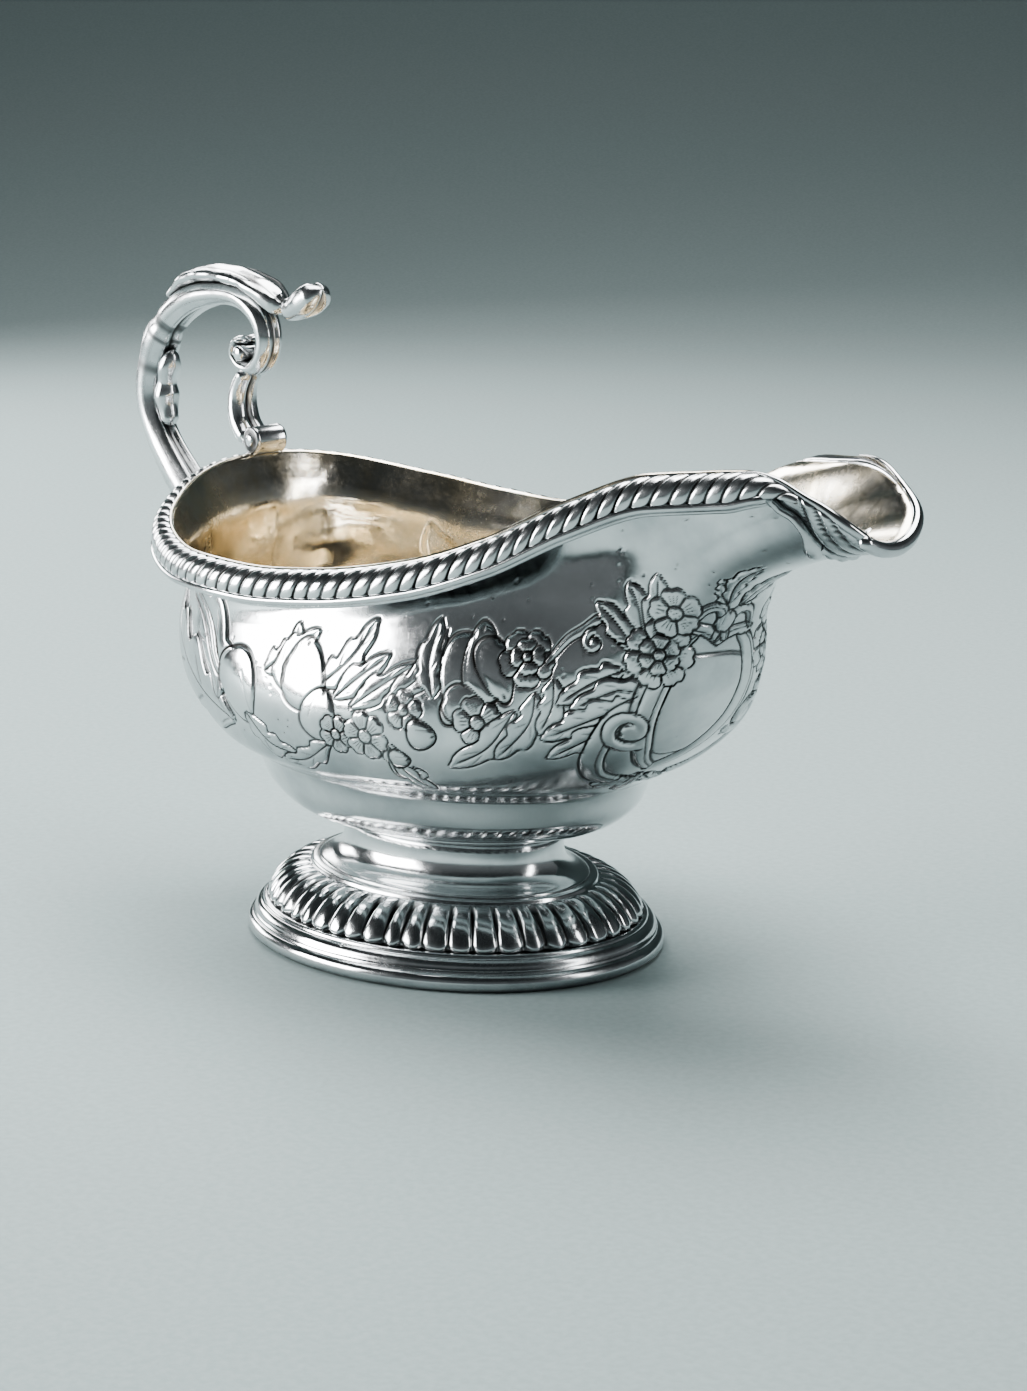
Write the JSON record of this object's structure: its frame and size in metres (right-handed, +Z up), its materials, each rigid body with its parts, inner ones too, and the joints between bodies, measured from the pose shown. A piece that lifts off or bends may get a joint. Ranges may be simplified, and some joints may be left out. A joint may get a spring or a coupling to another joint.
{
  "type": "sauce boat",
  "caption": "Footed silver sauce boat with a gadrooned rim, long pouring lip, leaf-capped scroll handle and oval lobed foot.",
  "frame": {"origin": "on the plane that the foot stands on, under the middle of the overall length and width; the foot's own centre is 7.1 mm behind it", "axes": "+X towards the pouring lip, +Y to the boat's left, +Z up"},
  "size_m": [0.2066, 0.094, 0.116],
  "materials": {
    "raised_silver": "polished raised silver sheet with tarnish in the chased lines",
    "gilt_silver": "polished silver with a warm worn gilt wash inside the lip",
    "wire_silver": "bright drawn silver wire",
    "cast_silver": "cast silver, bright lobes with tarnish between them",
    "handle_silver": "cast and chased silver, tarnish in the hollows",
    "foot_silver": "polished silver with worn mouldings"
  },
  "bodies": {
    "root": {"bowl": "raised_silver", "pouring_lip": "gilt_silver", "lip_roll": "wire_silver", "lip_collar": "cast_silver", "rim_gadroon_left": "cast_silver", "rim_gadroon_right": "cast_silver", "rim_wire_left": "wire_silver", "rim_wire_right": "wire_silver", "handle_back_scroll": "handle_silver", "handle_terminal_leaf": "handle_silver", "handle_stem_leaf": "handle_silver", "handle_flying_leaf": "handle_silver", "handle_leaf_bud": "handle_silver", "handle_front_stem": "handle_silver", "handle_rim_scroll": "handle_silver", "foot_neck": "foot_silver", "foot_dome": "foot_silver", "foot_base": "foot_silver"}
  },
  "joints": []
}
